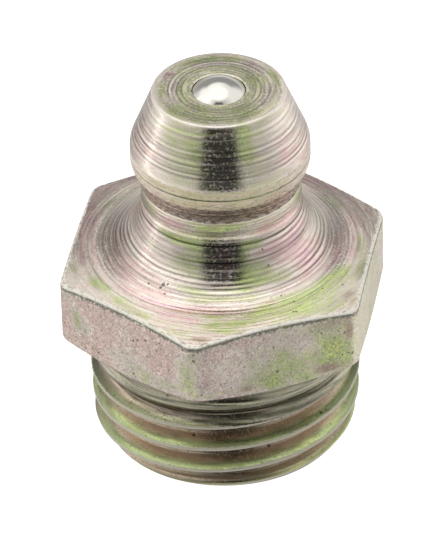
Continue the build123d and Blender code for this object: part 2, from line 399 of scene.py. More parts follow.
# a wandering edge for every patch
wx = noise3(np.cos(REL / 57.3) * 4, np.sin(REL / 57.3) * 4, S * 1.9, 21)
wy = noise3(np.cos(REL / 57.3) * 4, np.sin(REL / 57.3) * 4, S * 1.9, 22)
wf = np.where(zone_is("flat"), noise3(np.cos(REL / 57.3) * 22, np.sin(REL / 57.3) * 22, S * 4.5, 24),
              noise3(np.cos(REL / 57.3) * 10, np.sin(REL / 57.3) * 10, S * 9.0, 23))
# each patch's brightness is partly the plating's tone and partly painted light: the lightest patches are painted
# highlights, the darkest painted shade
PATCHES = [
    (49.3, 21.71, 26.8, 1.30, -0.02, 1.15, 0.90),
    (-46.9, 21.97, 24.2, 1.12, 0.14, 1.15, 0.35),
    (39.2, 23.59, 16.5, 0.74, 0.61, 1.08, 0.70),
    (-3.6, 23.06, 18.1, 0.55, 0.03, 1.25, 0.80),
    (-46.7, 23.43, 12.0, 0.51, 0.50, 1.05, 0.50),
    (101.5, 23.42, 23.3, 0.67, 0.18, 0.58, 0.70),
    (25.8, 27.83, 21.1, 1.31, 0.66, 0.88, 0.90),
    (40.2, 27.67, 10.5, 1.34, 0.80, 0.95, 0.95),
    (3.9, 27.25, 11.1, 0.88, 0.40, 0.95, 0.50),
    (-9.4, 22.58, 30.1, 0.19, 0.64, 1.00, 0.80),
    (-40.2, 22.46, 11.7, 0.31, 0.52, 1.10, 0.70),
    (72.6, 27.57, 32.3, 4.38, 0.47, 1.25, 1.00),
    (-53.3, 27.39, 17.5, 1.18, 0.14, 0.92, 0.60),
    (-24.3, 28.22, 13.9, 0.56, 0.52, 0.90, 0.60),
    (-120.0, 15.24, 7.8, 0.19, 0.08, 0.92, 0.90),
    (-96.5, 14.83, 17.6, 0.12, 0.14, 0.92, 0.80),
    (-69.2, 14.98, 8.4, 0.16, 0.20, 0.88, 0.70),
    (-83.7, 14.52, 21.4, 0.06, 0.70, 0.95, 0.80),
    (-171.1, 15.14, 20.4, 0.15, 0.64, 0.90, 0.80),
    (-173.2, 14.85, 21.5, 0.13, 0.20, 0.90, 0.70),
    (137.2, 15.09, 12.7, 0.25, 0.12, 0.95, 0.80),
    (75.2, 15.05, 18.8, 0.17, 0.22, 0.95, 0.70),
    (112.0, 14.52, 20.4, 0.24, 0.68, 0.90, 0.70),
    (102.5, 15.34, 13.2, 0.12, 0.66, 0.95, 0.70),
    (-10.5, 15.10, 40.0, 0.19, 0.62, 0.90, 0.70),
    (28.6, 14.74, 18.3, 0.27, 0.60, 0.90, 0.60),
    (-34.2, 14.61, 15.6, 0.22, 0.60, 0.95, 0.50),
    (-69.9, 17.09, 14.0, 0.64, 0.20, 0.95, 0.80),
    (-37.2, 16.06, 9.5, 0.55, 0.68, 0.90, 0.75),
    (-17.1, 16.45, 7.7, 0.73, 0.68, 0.90, 0.85),
    (-32.1, 16.96, 10.8, 0.36, 0.56, 0.95, 0.60),
    (-51.5, 17.37, 5.9, 0.34, 0.30, 1.15, 0.70),
    (19.2, 15.91, 5.1, 0.34, 0.72, 0.95, 0.95),
    (19.6, 16.51, 6.3, 0.48, 0.72, 0.95, 0.95),
    (35.0, 16.16, 7.4, 0.41, 0.58, 1.00, 0.70),
    (29.3, 17.18, 10.3, 0.37, 0.50, 1.00, 0.60),
    (52.1, 17.20, 8.7, 0.51, 0.12, 1.10, 0.85),
    (43.3, 16.51, 7.4, 0.27, 0.26, 1.00, 0.60),
    (74.0, 17.49, 14.2, 0.47, 0.20, 1.00, 0.70),
    (49.5, 18.06, 11.9, 0.32, 0.50, 1.00, 0.50),
    (-51.1, 15.39, 8.1, 0.18, 0.66, 0.95, 0.60),
    (45.1, 15.70, 12.0, 0.18, 0.64, 0.95, 0.60),
    (2.5, 18.10, 29.0, 0.19, 0.50, 1.30, 0.60),
    (32.5, 18.06, 9.0, 0.21, 0.50, 1.30, 0.70),
    (-50.5, 18.15, 12.2, 0.33, 0.50, 1.30, 0.60),
    (9.4, 18.29, 14.0, 0.07, 0.54, 1.30, 0.70),
    (-23.1, 18.42, 9.6, 0.18, 0.50, 1.30, 0.50),
    (-60.8, 19.33, 21.3, 0.70, 0.95, 1.00, 0.50),
    (38.7, 18.75, 14.8, 0.51, 0.95, 1.10, 0.50),
    (-5.0, 19.18, 23.4, 0.41, 0.95, 0.72, 0.40),
    (79.1, 19.70, 13.0, 0.44, 0.80, 1.04, 0.60),
    (-4.0, 19.83, 17.0, 0.17, 0.80, 1.30, 0.95),
    (-30.1, 20.12, 14.9, 0.19, 0.12, 1.05, 0.90),
    (-37.6, 19.91, 9.0, 0.21, 0.99, 0.80, 0.70),
    (33.8, 20.32, 23.6, 0.26, 0.04, 1.21, 0.90),
    (52.7, 20.33, 18.2, 0.31, 0.90, 1.16, 0.60),
    (36.6, 20.08, 16.1, 0.24, 0.88, 0.99, 0.70),
    (-38.6, 20.52, 8.6, 0.17, 0.70, 0.95, 0.90),
    (-26.2, 20.50, 15.5, 0.18, 0.72, 0.95, 0.95),
    (-16.3, 20.66, 10.1, 0.24, 0.72, 0.95, 0.90),
    (20.6, 20.60, 10.3, 0.26, 0.72, 0.95, 0.95),
    (33.1, 21.45, 11.1, 0.40, 0.16, 1.05, 0.85),
    (55.3, 21.77, 13.0, 0.61, 0.08, 1.18, 0.85),
    (58.6, 20.88, 10.5, 0.26, 0.10, 1.10, 0.80),
    (85.5, 22.26, 16.6, 0.31, 0.10, 1.00, 0.80),
    (75.6, 22.99, 14.4, 0.30, 0.06, 1.05, 0.80),
    (100.0, 21.81, 21.6, 0.54, 0.50, 1.05, 0.80),
    (119.9, 23.25, 6.5, 0.35, 0.52, 0.72, 0.80),
    (105.5, 24.07, 5.7, 0.26, 0.30, 0.85, 0.70),
    (-54.1, 21.29, 8.6, 0.19, 0.64, 1.05, 0.60),
    (-68.2, 21.82, 6.9, 0.18, 0.58, 0.95, 0.60),
    (-55.6, 22.01, 8.2, 0.44, 0.02, 1.10, 0.60),
    (-24.6, 22.16, 16.8, 0.19, 0.62, 1.10, 0.50),
    (-49.0, 21.81, 14.8, 0.26, 0.60, 1.05, 0.50),
    (-41.5, 22.13, 15.1, 0.64, 0.24, 1.25, 0.85),
    (-58.4, 22.62, 8.5, 0.36, 0.14, 0.95, 0.80),
    (-89.5, 23.65, 19.8, 0.29, 0.20, 0.54, 0.80),
    (-103.0, 22.59, 13.1, 0.35, 0.40, 0.80, 0.70),
    (-76.7, 24.17, 3.7, 0.13, 0.60, 0.80, 0.80),
    (-64.1, 23.68, 4.9, 0.22, 0.70, 0.95, 0.90),
    (-57.3, 23.58, 3.1, 0.15, 0.74, 1.00, 0.90),
    (-45.0, 23.63, 5.9, 0.21, 0.78, 1.05, 0.90),
    (-34.6, 23.71, 4.5, 0.18, 0.72, 1.05, 0.80),
    (-52.2, 23.38, 3.6, 0.19, 0.12, 1.05, 0.70),
    (-33.5, 22.99, 12.0, 0.52, 0.08, 1.20, 0.80),
    (-20.1, 23.33, 6.9, 0.36, 0.10, 1.30, 0.80),
    (-13.0, 24.04, 6.7, 0.28, 0.80, 1.30, 0.45),
    (-4.1, 23.68, 4.8, 0.27, 0.70, 1.30, 0.80),
    (-3.5, 23.25, 6.1, 0.10, 0.86, 1.30, 0.80),
    (-8.4, 24.35, 3.5, 0.11, 0.95, 0.90, 0.90),
    (-132.0, 22.85, 13.1, 0.88, 0.52, 1.30, 0.80),
    (-121.1, 23.39, 6.2, 0.32, 0.56, 0.70, 0.80),
    (-128.4, 24.36, 5.2, 0.47, 0.16, 0.88, 0.80),
    (-35.4, 21.50, 9.8, 0.30, 0.44, 1.15, 0.60),
    (-24.7, 21.60, 11.6, 0.29, 0.50, 1.10, 0.60),
    (-20.4, 21.26, 10.9, 0.43, 0.70, 1.00, 0.80),
    (18.5, 21.87, 9.5, 0.28, 0.78, 1.00, 1.00),
    (35.6, 22.14, 8.1, 0.22, 0.74, 1.00, 0.90),
    (13.4, 21.23, 4.3, 0.71, 0.74, 0.92, 0.85),
    (62.2, 23.33, 6.7, 0.29, 0.72, 1.00, 0.90),
    (52.5, 23.22, 6.8, 0.31, 0.72, 1.00, 0.90),
    (41.9, 23.31, 7.6, 0.29, 0.72, 1.05, 0.90),
    (29.4, 23.02, 9.6, 0.28, 0.78, 1.05, 0.80),
    (22.6, 22.95, 2.8, 0.19, 0.94, 1.05, 0.80),
    (15.2, 23.22, 8.6, 0.26, 0.82, 1.05, 0.85),
    (32.0, 23.66, 7.4, 0.21, 0.85, 1.30, 0.80),
    (53.2, 24.22, 3.8, 0.26, 0.95, 0.90, 0.80),
    (45.9, 24.13, 3.9, 0.18, 0.62, 1.00, 0.70),
    (37.8, 22.56, 6.9, 0.18, 0.28, 1.10, 0.80),
    (1.1, 22.81, 7.7, 0.16, 0.20, 1.30, 0.80),
    (-0.8, 23.11, 6.3, 0.09, 0.14, 1.30, 0.70),
    (4.8, 23.60, 8.9, 0.18, 0.84, 1.30, 0.85),
    (-0.9, 23.93, 6.8, 0.16, 0.78, 1.30, 0.80),
    (-2.8, 22.49, 8.2, 0.09, 0.70, 1.00, 0.70),
    (-4.1, 22.05, 10.1, 0.05, 0.06, 1.00, 0.90),
    (9.3, 22.13, 14.3, 0.16, 0.78, 1.00, 0.70),
    (-15.0, 22.24, 8.8, 0.14, 0.72, 1.00, 0.60),
    (70.4, 23.87, 5.9, 0.16, 0.66, 0.75, 0.80),
    (78.0, 23.35, 5.5, 0.12, 0.16, 0.90, 0.70),
    (87.1, 23.58, 7.1, 0.08, 0.60, 0.75, 0.70),
    (8.6, 22.46, 9.3, 0.17, 0.56, 1.10, 0.50),
    (-63.8, 27.37, 1.8, 0.38, 0.72, 0.85, 0.95),
    (-59.5, 27.69, 1.9, 0.40, 0.62, 0.85, 0.80),
    (-68.0, 26.49, 1.7, 0.22, 0.66, 0.85, 0.80),
    (-49.6, 26.67, 8.0, 0.57, 0.10, 0.86, 0.70),
    (-43.2, 26.79, 2.0, 0.46, 0.46, 0.88, 0.70),
    (-38.4, 28.58, 5.1, 0.61, 0.50, 0.86, 0.70),
    (-32.1, 28.77, 2.0, 0.36, 0.80, 0.95, 0.70),
    (-48.3, 28.15, 1.5, 0.13, 0.90, 1.00, 0.80),
    (-23.0, 28.37, 6.4, 0.32, 0.60, 0.82, 0.80),
    (-14.3, 27.41, 2.4, 0.53, 0.62, 0.85, 0.80),
    (-25.1, 27.81, 5.6, 0.42, 0.06, 0.88, 0.80),
    (-12.9, 27.72, 1.5, 0.43, 0.58, 0.90, 0.70),
    (-54.6, 28.11, 6.8, 0.34, 0.08, 0.88, 0.70),
    (-28.6, 27.14, 6.7, 0.47, 0.12, 0.86, 0.70),
    (-10.9, 26.64, 1.5, 0.19, 0.70, 0.75, 0.70),
    (1.1, 26.82, 6.4, 0.38, 0.14, 0.82, 0.80),
    (-5.6, 27.58, 3.9, 0.37, 0.18, 0.82, 0.80),
    (7.9, 26.53, 3.0, 0.17, 0.10, 0.82, 0.80),
    (10.8, 27.56, 1.6, 0.60, 0.60, 0.96, 0.70),
    (20.7, 27.44, 1.5, 0.44, 0.60, 0.94, 0.70),
    (21.2, 26.81, 5.6, 0.19, 0.30, 0.90, 0.60),
    (28.1, 28.26, 5.5, 0.40, 0.62, 0.96, 0.80),
    (42.6, 27.56, 4.1, 0.37, 0.76, 1.01, 0.95),
    (40.1, 28.18, 4.2, 0.27, 0.82, 1.06, 0.90),
    (38.1, 26.57, 2.9, 0.17, 0.60, 0.89, 0.80),
    (36.0, 25.65, 3.7, 0.73, 0.96, 0.81, 0.80),
    (42.7, 25.70, 4.7, 0.95, 0.93, 0.72, 0.80),
    (46.9, 26.98, 1.5, 0.43, 0.99, 0.94, 0.90),
    (7.9, 28.53, 3.1, 0.17, 0.93, 0.79, 0.80),
    (18.1, 28.61, 3.2, 0.37, 0.88, 0.84, 0.70),
    (13.1, 27.87, 3.2, 0.29, 0.44, 0.90, 0.60),
    (39.4, 28.49, 4.2, 0.33, 0.99, 0.75, 0.80),
    (-3.8, 28.45, 4.7, 0.06, 0.68, 0.85, 0.80),
    (-9.6, 28.27, 1.9, 0.20, 0.42, 0.98, 0.80),
    (84.8, 27.98, 14.3, 1.40, 0.44, 1.05, 0.90),
    (-48.9, 33.04, 3.8, 0.07, 0.99, 0.80, 0.80),
    (-33.4, 32.80, 4.9, 0.09, 0.30, 0.80, 0.70),
    (-37.6, 19.91, 10.8, 0.22, 0.02, 1.00, 0.85),
    (34.8, 20.08, 17.5, 0.27, 0.02, 1.10, 0.85),
    (54.1, 20.28, 16.7, 0.30, 0.04, 1.20, 0.85),
    (24.7, 21.77, 4.9, 0.14, 1.00, 0.90, 1.00),
    (-88.0, 22.59, 29.6, 0.60, 0.16, 0.84, 0.60),
    (22.4, 21.57, 7.8, 0.41, 0.72, 1.00, 0.70),
    (-15.6, 20.20, 19.2, 0.20, 0.66, 0.90, 0.70),
    (29.8, 27.16, 3.9, 0.37, 0.12, 0.92, 0.70),
    (-7.3, 24.00, 6.0, 0.18, 0.10, 1.15, 0.60),
    (32.8, 32.54, 11.7, 0.26, 0.50, 0.50, 0.90),
    (0.3, 27.13, 5.7, 0.82, 0.30, 1.10, 0.70),
]
for p_rel, p_s, w_rel, w_s, p_hue, p_lum, p_amt in PATCHES:
    dr = (REL - p_rel + 180) % 360 - 180
    ok = (np.abs(dr) < 2.2 * w_rel) & (np.abs(S - p_s) < 2.2 * w_s)
    q = (dr / w_rel + 0.35 * wx) ** 2 + ((S - p_s) / w_s + 0.35 * wy) ** 2
    w = p_amt * np.exp(-np.maximum(q, 0) ** 1.3 * 0.6) * np.clip(1 + 0.45 * wf, 0, 1)
    w = np.where(ok, w, 0)
    stain = p_hue >= 0.93           # rust brown lies over the plating's colours
    hue = hue * (1 - w) + (0.40 if stain else p_hue) * w
    lum = lum * (1 - w) + p_lum * w
    rust = rust * (1 - w) + stain * w
# painted light and shade: broad lighter and darker bands along the outline of the turned surfaces, the same all round
turned = zone_is("top", "cone", "head", "under", "neck", "flare", "hextop")
level = np.interp(S, [14.4, 15.5, 15.75, 17.8, 18.2, 18.6, 19.6, 20.4, 21.2, 21.6, 22.6, 22.9, 23.3, 24.2],
                  [.88, .86, 1.0, .86, 1.22, 1.16, 1.05, .80, .74, .90, .72, .95, 1.25, 1.0])
lum = np.where(turned, lum * level, lum)
step_ = lambda v, a, b: np.clip((v - a) / (b - a), 0, 1)
conic = zone_is("cone", "head")
hue = hue * (1 - 0.22 * conic * step_(np.abs(REL + 2), 26, 50))
flats = zone_is("flat", "lowedge", "chamfer")
# painted highlight: the hexagon's corner that faces the view is painted lighter, and greener
corner = np.exp(-((REL + 11) / 1.9) ** 2) * zone_is("flat")
lum, hue = lum * (1 + 0.30 * corner), hue * (1 - 0.6 * corner) + 0.58 * 0.6 * corner
# thread: rust brown in the roots; on each flank just above its crest a band painted darker, a painted shade that
# deepens towards the hexagon, and in it a lighter yellow-green band, the plating's colour with a painted highlight
sh = zone_is("shank")
tx = (Z - CREST0 - shift[None, :]) / PITCH
tx = (tx - np.round(tx)) * PITCH
thread = sh * np.clip((3.3 - Z) / 0.5, 0, 1)
soft = lambda v, lo, hi, e: 1 / (1 + np.exp(-(v - lo) / e)) / (1 + np.exp((v - hi) / e))
ang = REL + 7 * wx + 5 * wf
low = np.clip((2.35 - Z) / 0.3, 0, 1)
w = thread * soft(tx + 0.03 * wf, 0.20, 0.36, 0.02) * 0.75 * (1 - 0.7 * np.clip((1.0 - Z) / 0.2, 0, 1))
rust, lum = rust * (1 - w) + 0.85 * w, lum * (1 - w) + 1.45 * w
# painted shade: the flank above each crest darker, darker still towards the hexagon
w = thread * soft(tx + 0.03 * wf, 0.05, 0.24, 0.015)
hue, lum, rust = hue * (1 - w) + 0.70 * w, lum * (1 - w) + 0.50 * (0.50 + 0.50 * low) * w, rust * (1 - w)
# painted highlight in the plating's yellow-green: a lighter band near each crest, fainter towards the hexagon
w = thread * soft(tx + 0.03 * wf, 0.085, 0.18 + 0.05 * wx, 0.012) * (0.2 + 0.8 * low) * np.clip(0.85 + 0.5 * wy, 0, 1)
hue, lum = hue * (1 - w) + (0.74 + 0.06 * wy) * w, lum * (1 - w) + 1.08 * w
w = sh * soft(REL, -110, -70, 4)
hue, lum = hue * (1 - 0.6 * w) + 0.5 * 0.6 * w, lum
far = sh * soft(REL, 66, 100, 4)
hue, lum, rust = hue * (1 - 0.7 * far) + 0.66 * 0.7 * far, lum, rust * (1 - 0.8 * far)
# painted shade under the hexagon: the thread's run-out is painted darker, its hue more neutral, and a band of the
# shank from 3.2 to 3.7 mm up darker again
runout = sh * np.clip((Z - 2.95) / 0.35, 0, 1) * (1 - far)
lum, hue = lum * (1 - 0.32 * runout), hue * (1 - 0.5 * runout) + 0.52 * 0.5 * runout
lum = lum * (1 - 0.33 * sh * soft(Z, 3.22, 3.7, 0.05))
give(me, "m_run", take(runout))
give(me, "m_hextop", take(zone_is("hextop").astype(float)))
give(me, "m_fleck", take(0.55 * zone_is("head") * np.clip((12.4 - Z) / 0.3, 0, 1) + 1.25 * zone_is("under")))
give(me, "hue", take(hue))
give(me, "lum", take(lum))
give(me, "rust", take(rust))
rough = np.where(zone_is("head") & (Z > 12.22), 0.2, rough)
give(me, "rough", take(rough))
give(me, "ring", take(S))
give(me, "m_turned", take(zone_is("top", "rim", "cone", "head", "under", "neck", "flare", "hextop") + 0.55 * sh + 0.8 * zone_is("end")))
give(me, "m_flat", take(zone_is("flat", "edge", "lowedge", "chamfer").astype(float)))
edge_rows = np.where(ZONE[:, 0] == ZONES.index("edge"))[0]
hi_at, lo_at = np.zeros(NR), np.zeros(NR)
hi_at[edge_rows[0] - 3:edge_rows[0] + 7] = (0.2, 0.6, 0.9, 1, 1, 1, 1, 1, 0.7, 0.2)
lo_at[edge_rows[0] + 4:edge_rows[0] + 10] = (0.1, 0.6, 1, 1, 0.5, 0.1)
corner = np.exp(-((REL - 48.6) / 1.3) ** 2) * zone_is("flat", "lowedge")
give(me, "edge_hi", take(np.maximum(hi_at[:, None], 0.72 * corner)))
give(me, "edge_lo", take(lo_at[:, None]))
rim_at = np.zeros(NR)
rim_rows = np.where(ZONE[:, 0] == ZONES.index("rim"))[0]
rim_at[rim_rows] = (0, 0.4, 0.9, 1, 1, 0.9, 0.4, 0)
rim_at[(ZONE[:, 0] == ZONES.index("top")) & (R.mean(1) < 1.07)] = 0.8
give(me, "rim", take(rim_at[:, None]))
is_shank = zone_is("shank").astype(float)
depth = np.where(is_shank > 0, np.clip((4.865 + 0.032 * Z - R) / 0.6, 0, 1), 0)
hx = (Z - CREST0 - shift[None, :]) / PITCH
hx = (hx - np.round(hx)) * PITCH
crest = is_shank * np.exp(-(hx / 0.085) ** 4) * np.clip((3.45 - Z) / 0.4, 0, 1)
give(me, "m_shank", take(is_shank))
give(me, "depth", take(depth))
give(me, "crest", take(crest))
give(me, "mark", take(MARK))

tris = sum(len(p.vertices) - 2 for p in me.polygons)
print("body", len(me.vertices), "verts", tris, "triangles", "rows", NR)

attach(body, "housing")
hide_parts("body")


# ------------------------------------------------------------ node shorthand
class Graph:
    def __init__(self, tree):
        self.t = tree
        self.t.nodes.clear()

    def node(self, kind, **props):
        n = self.t.nodes.new(kind)
        for k, v in props.items():
            setattr(n, k, v)
        return n

    def put(self, sock, v):
        if isinstance(v, bpy.types.NodeSocket):
            self.t.links.new(v, sock)
        else:
            sock.default_value = v

    def math(self, op, a, b=None, c=None, clamp=False):
        n = self.node("ShaderNodeMath", operation=op, use_clamp=clamp)
        for s, v in zip(n.inputs, (a, b, c)):
            if v is not None:
                self.put(s, v)
        return n.outputs[0]

    def step(self, x, lo, hi, a=0.0, b=1.0):
        """Smooth step of x from a at lo to b at hi."""
        n = self.node("ShaderNodeMapRange", interpolation_type="SMOOTHSTEP")
        self.put(n.inputs[0], x)
        if lo > hi:
            lo, hi, a, b = hi, lo, b, a
        n.inputs[1].default_value, n.inputs[2].default_value = lo, hi
        n.inputs[3].default_value, n.inputs[4].default_value = a, b
        return n.outputs[0]

    def band(self, x, lo, hi, soft):
        """1 between lo and hi, 0 outside, with soft ends."""
        up = self.step(x, lo - soft, lo + soft)
        down = self.step(x, hi + soft, hi - soft)
        return self.math("MULTIPLY", up, down)

    def mix(self, f, a, b, kind="RGBA", blend="MIX"):
        n = self.node("ShaderNodeMix", data_type=kind)
        if kind == "RGBA":
            n.blend_type = blend
            i, o = (0, 6, 7), 2
        else:
            i, o = (0, 2, 3), 0
        self.put(n.inputs[i[0]], f)
        self.put(n.inputs[i[1]], a)
        self.put(n.inputs[i[2]], b)
        return n.outputs[o]

    def attr(self, name):
        return self.node("ShaderNodeAttribute", attribute_name=name).outputs["Fac"]

    def xyz(self, x, y, z):
        n = self.node("ShaderNodeCombineXYZ")
        for s, v in zip(n.inputs, (x, y, z)):
            self.put(s, v)
        return n.outputs[0]

    def noise(self, vec, scale, detail=2.0, rough=0.5, distortion=0.0, out=0):
        n = self.node("ShaderNodeTexNoise", noise_dimensions="3D")
        self.put(n.inputs["Vector"], vec)
        n.inputs["Scale"].default_value = scale
        n.inputs["Detail"].default_value = detail
        n.inputs["Roughness"].default_value = rough
        n.inputs["Distortion"].default_value = distortion
        return n.outputs[out]

    def scale3(self, vec, s):
        n = self.node("ShaderNodeVectorMath", operation="MULTIPLY")
        self.put(n.inputs[0], vec)
        n.inputs[1].default_value = s
        return n.outputs[0]


def rgb(r, g, b):
    """A colour as seen on screen, 0..255, to linear."""
    f = lambda v: (v / 255) / 12.92 if v / 255 <= 0.04045 else ((v / 255 + 0.055) / 1.055) ** 2.4
    return (f(r), f(g), f(b), 1.0)


# ---------------------------------------------------------------- materials
mat = bpy.data.materials.new("plated_steel")
mat.use_nodes = True
g = Graph(mat.node_tree)
out = g.node("ShaderNodeOutputMaterial")
bsdf = g.node("ShaderNodeBsdfPrincipled")
g.t.links.new(bsdf.outputs[0], out.inputs[0])
bsdf.inputs["Metallic"].default_value = 1.0
bsdf.inputs["Anisotropic"].default_value = 0.35
pos = g.node("ShaderNodeTexCoord").outputs["Object"]
mm = g.scale3(pos, (1000, 1000, 1000))
sep = g.node("ShaderNodeSeparateXYZ"); g.put(sep.inputs[0], mm)
X, Y, Zc = sep.outputs
ring, m_flat, m_turned, m_shank = g.attr("ring"), g.attr("m_flat"), g.attr("m_turned"), g.attr("m_shank")
rim, depth = g.attr("rim"), g.attr("depth")
rr = g.math("SQRT", g.math("ADD", g.math("MULTIPLY", X, X), g.math("MULTIPLY", Y, Y)))
cx, cy = g.math("DIVIDE", X, rr), g.math("DIVIDE", Y, rr)


def ringvec(around, along, offset=0.0):
    return g.xyz(g.math("MULTIPLY", cx, around), g.math("MULTIPLY", cy, around),
                 g.math("MULTIPLY_ADD", ring, along, offset))


def centred(x, gain=1.0):
    return g.math("MULTIPLY", g.math("SUBTRACT", x, 0.5), gain)


# turned surfaces: streaks along the marks; elsewhere blotches
streak = g.noise(ringvec(2.2, 5.0), 1.0, 3.0, 0.6)
lines = g.noise(ringvec(1.4, 9.5, 40), 1.0, 1.5, 0.6)
fine = g.noise(ringvec(4.5, 26.0, 80), 1.0, 2.0, 0.6)
blotch = g.noise(mm, 1.6, 4.0, 0.62)
grain = g.noise(mm, 9.0, 3.0, 0.62)
specks = g.noise(mm, 15.0, 2.0, 0.6)
worm = g.noise(mm, 4.5, 4.0, 0.62, 2.2)
h = g.math("ADD", g.attr("hue"), g.math("MULTIPLY", centred(streak, 0.50), m_turned))
h = g.math("ADD", h, g.math("MULTIPLY", centred(fine, 0.60), m_turned))
h = g.math("ADD", h, g.math("MULTIPLY", centred(blotch, 0.50), m_flat))
h = g.math("ADD", h, g.math("MULTIPLY", centred(worm, 1.0), g.math("MULTIPLY_ADD", g.attr("m_hextop"), 0.8, m_flat)))
h = g.math("ADD", h, centred(grain, 0.30))
h = g.math("MAXIMUM", h, g.math("MULTIPLY", m_flat, 0.17))
ramp = g.node("ShaderNodeValToRGB")
g.put(ramp.inputs[0], h)
els = ramp.color_ramp.elements
stops = [(0.00, (228, 190, 203)), (0.15, (222, 197, 186)), (0.32, (224, 213, 204)),
         (0.48, (211, 205, 182)), (0.60, (198, 199, 158)), (0.72, (180, 196, 140)),
         (0.84, (214, 218, 148)), (0.93, (206, 188, 150)), (1.00, (188, 162, 136))]
els[0].position, els[0].color = stops[0][0], rgb(*stops[0][1])
els[1].position, els[1].color = stops[-1][0], rgb(*stops[-1][1])
for p, c in stops[1:-1]:
    e = els.new(p); e.color = rgb(*c)
stain = g.step(g.math("ADD", g.attr("rust"), g.math("ADD", g.math("MULTIPLY", centred(fine, 0.9), m_turned), centred(worm, 0.5))), 0.25, 0.85)
colour = g.mix(g.math("MULTIPLY", stain, 0.85), ramp.outputs[0], rgb(188, 166, 147))
# brightness: painted, from the lum attribute, which holds the plating's tone together with painted light and shade,
# with dark lines in the marks and dark specks on the flats
light = g.attr("lum")
light = g.math("MULTIPLY", light, g.math("MULTIPLY_ADD", g.attr("mark"), 1.05, 1.0))
light = g.math("MULTIPLY", light, g.math("MULTIPLY_ADD", g.math("MULTIPLY", centred(fine), m_turned), 0.9, 1.0))
spotted = g.math("MULTIPLY_ADD", g.attr("m_hextop"), 0.55, m_flat)
light = g.math("MULTIPLY", light, g.math("MULTIPLY_ADD", g.math("MULTIPLY", centred(worm), spotted), 1.35, 1.0))
hexlines = g.noise(ringvec(2.2, 8.5, 20), 1.0, 2.5, 0.7)
light = g.math("MULTIPLY", light, g.math("MULTIPLY_ADD", g.math("MULTIPLY", centred(hexlines), g.attr("m_hextop")), 0.8, 1.0))
light = g.math("MULTIPLY", light, g.math("MULTIPLY_ADD", g.math("MULTIPLY", centred(hexlines), g.attr("m_run")), 3.2, 1.0))
light = g.math("MAXIMUM", light, 0.15)
fleck = g.step(g.noise(ringvec(15.0, 12.0, 60), 1.0, 2.0, 0.7), 0.46, 0.58)
light = g.math("MULTIPLY", light, g.math("MULTIPLY_ADD", g.math("MULTIPLY", fleck, g.attr("m_fleck")), -0.48, 1.08))
pits = g.math("MULTIPLY", g.step(specks, 0.60, 0.68), 0.45)
light = g.math("MULTIPLY", light, g.math("SUBTRACT", 1.0, g.math("MULTIPLY", pits, spotted)))


def shade(colour, amount, kind="MULTIPLY"):
    c = g.node("ShaderNodeCombineColor")
    for i in range(3):
        g.put(c.inputs[i], amount)
    return g.mix(1.0, colour, c.outputs[0], "RGBA", kind)


# fine light scribbles scratched into the flats
line = g.math("ABSOLUTE", g.math("SUBTRACT", g.noise(mm, 2.1, 2.5, 0.55, 1.6), 0.5))
scribble = g.math("MULTIPLY", g.step(line, 0.012, 0.003), g.step(g.noise(mm, 1.3, 2.0, 0.6), 0.48, 0.60))
scribble = g.math("MULTIPLY", scribble, m_flat)
light = g.math("MULTIPLY", light, g.math("MULTIPLY_ADD", scribble, 0.6, 1.0))
line2 = g.math("ABSOLUTE", g.math("SUBTRACT", g.noise(mm, 3.3, 2.5, 0.6, 1.2), 0.52))
light = g.math("MULTIPLY", light, g.math("MULTIPLY_ADD", g.math("MULTIPLY", g.step(line2, 0.016, 0.004), m_flat), -0.34, 1.0))


# single pits and stains, each listed: x, y, z and radius in millimetres
PITS = [
    (-2.21, -5.02, 6.78, 0.058),
    (-1.88, -5.21, 6.96, 0.066),
    (-2.38, -4.92, 6.69, 0.044),
    (-1.30, -5.54, 7.13, 0.044),
    (-1.44, -5.46, 6.75, 0.036),
    (-3.87, -4.06, 5.35, 0.044),
    (-4.12, -3.91, 5.40, 0.044),
    (-4.21, -3.86, 7.23, 0.036),
    (0.05, -6.19, 6.96, 0.069),
    (0.05, -6.19, 7.23, 0.055),
    (-1.24, -4.72, 4.20, 0.047),
    (0.29, -6.13, 5.43, 0.044),
    (-1.82, -5.24, 6.28, 0.036),
    (-2.43, -4.89, 5.19, 0.051),
    (-0.97, -5.74, 6.11, 0.029),
    (-1.51, -3.51, 8.25, 0.073),
    (-1.60, -3.60, 8.17, 0.044),
    (-1.36, -3.53, 8.28, 0.036),
    (-1.42, -3.83, 8.09, 0.029),
    (-2.08, -3.39, 8.15, 0.029),
    (1.90, -2.34, 9.33, 0.036),
    (2.14, -2.52, 8.77, 0.033),
    (4.18, 0.53, 8.02, 0.044),
    (4.18, -0.12, 8.04, 0.033),
    (4.62, -0.83, 7.88, 0.029),
    (4.72, -1.92, 7.78, 0.036),
    (4.07, -2.39, 7.87, 0.033),
    (2.72, -3.23, 8.02, 0.029),
    (3.21, -3.34, 7.89, 0.044),
    (4.21, -1.25, 7.96, 0.029),
    (3.36, -3.79, 7.79, 0.047),
    (3.26, -3.82, 7.80, 0.040),
    (5.28, -3.22, 5.76, 0.069),
    (4.95, -3.44, 5.79, 0.044),
    (5.15, -3.32, 5.82, 0.036),
    (5.28, -3.22, 5.44, 0.044),
    (2.79, -4.68, 5.71, 0.058),
    (2.23, -5.00, 7.62, 0.036),
    (4.26, -3.83, 6.94, 0.044),
    (4.69, -3.59, 6.63, 0.029),
    (2.68, -4.75, 6.81, 0.036),
    (1.27, -5.56, 5.47, 0.033),
    (5.02, -3.39, 6.75, 0.044),
    (-0.35, -4.46, 2.33, 0.080),
    (2.24, -3.74, 1.58, 0.066),
    (3.99, -2.65, 2.47, 0.051),
]
ragged = g.math("MULTIPLY", centred(specks), 0.12)
near = None
for px, py, pz, pr in PITS:
    n = g.node("ShaderNodeVectorMath", operation="DISTANCE")
    g.put(n.inputs[0], mm)
    n.inputs[1].default_value = (px, py, pz)
    d = g.math("SUBTRACT", n.outputs["Value"], pr * 0.8)
    near = d if near is None else g.math("MINIMUM", near, d)
hole = g.step(g.math("ADD", near, ragged), 0.022, -0.022)
light = g.math("MULTIPLY", light, g.math("MULTIPLY_ADD", hole, -0.62, 1.0))
